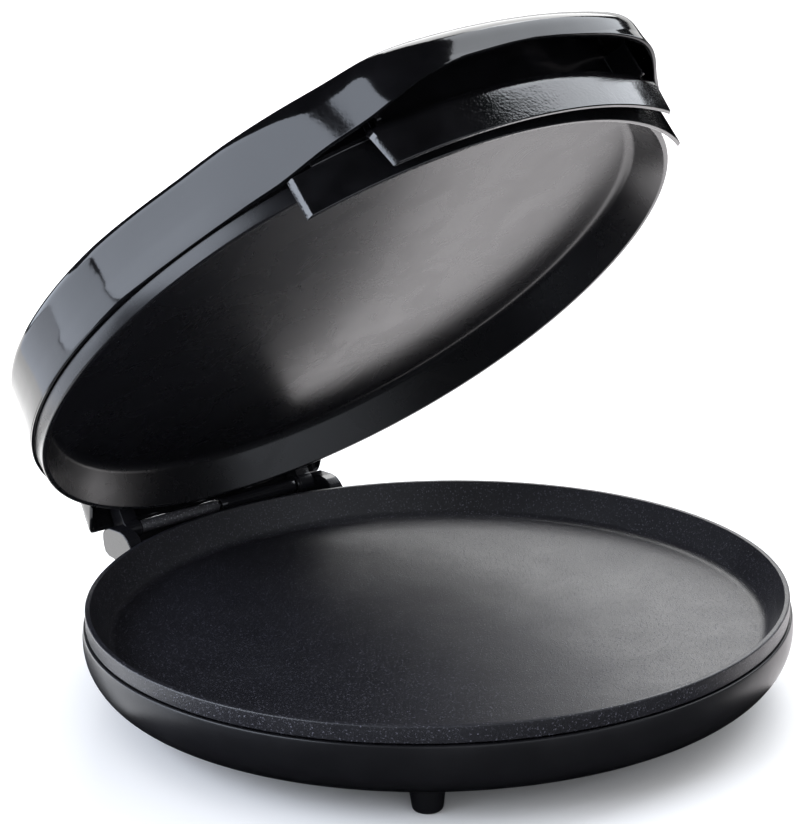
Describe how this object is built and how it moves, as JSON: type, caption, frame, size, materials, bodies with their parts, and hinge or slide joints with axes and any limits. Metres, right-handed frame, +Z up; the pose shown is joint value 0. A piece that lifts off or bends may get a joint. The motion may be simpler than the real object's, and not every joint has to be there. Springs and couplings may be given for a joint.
{
  "type": "electric pizza maker",
  "caption": "Round clamshell pizza maker: dark coated dish plates, satin base casing on feet, glossy domed lid with a front hand recess and hanging heat skirts, cross-pin hinge at the back.",
  "frame": {"origin": "on the surface it stands on, directly under the middle of the round cooking plates", "axes": "+Z up, -Y towards the front hand recess, +Y towards the hinge, +X to the right seen from the front"},
  "size_m": [0.3237, 0.3495, 0.317],
  "materials": {
    "casing_black": "satin black moulded plastic with a faint grain",
    "lid_gloss": "high gloss black moulded plastic",
    "coated_plate": "dark charcoal non-stick coating on cast aluminium, fine granular speckle",
    "steel": "bright zinc plated steel",
    "dark_steel": "black oxide steel",
    "reflector": "plain pressed aluminium sheet",
    "element": "heat tinted steel sheath",
    "ceramic": "cream insulator",
    "wire": "heat resistant sleeving",
    "board": "green circuit board",
    "pads": "soft dark rubber",
    "lens": "clear tinted red plastic"
  },
  "bodies": {
    "base": {"base_housing": "casing_black", "feet": "casing_black", "foot_pads": "pads", "foot_screws": "steel", "lower_plate": "coated_plate", "lower_element": "element", "lower_clips": "steel", "lower_clip_screws": "steel", "lower_reflector": "reflector", "plate_screws": "steel", "thermostat": "ceramic", "thermal_fuse": "ceramic", "terminal_block": "ceramic", "base_leads": "wire", "cord_gland": "casing_black", "hinge_ears": "casing_black", "ear_screws": "steel", "hinge_pin": "dark_steel", "sleeve_left": "dark_steel", "sleeve_right": "casing_black"},
    "lid": {"lid_cover": "lid_gloss", "lid_frame": "casing_black", "hand_guard": "lid_gloss", "guard_screws": "steel", "upper_plate": "coated_plate", "upper_element": "element", "upper_clips": "steel", "upper_clip_screws": "steel", "upper_reflector": "reflector", "frame_screws": "steel", "lid_arms": "casing_black", "arm_screws": "steel", "lamp_lenses": "lens", "lamp_board": "board", "lid_leads": "wire"}
  },
  "joints": [
    {"name": "lid_hinge", "type": "hinge", "parent": "base", "child": "lid", "pos_m": [0, 0.169, 0.046], "axis": [-1, 0, 0], "range_deg": [-43.8, 46.2]}
  ]
}
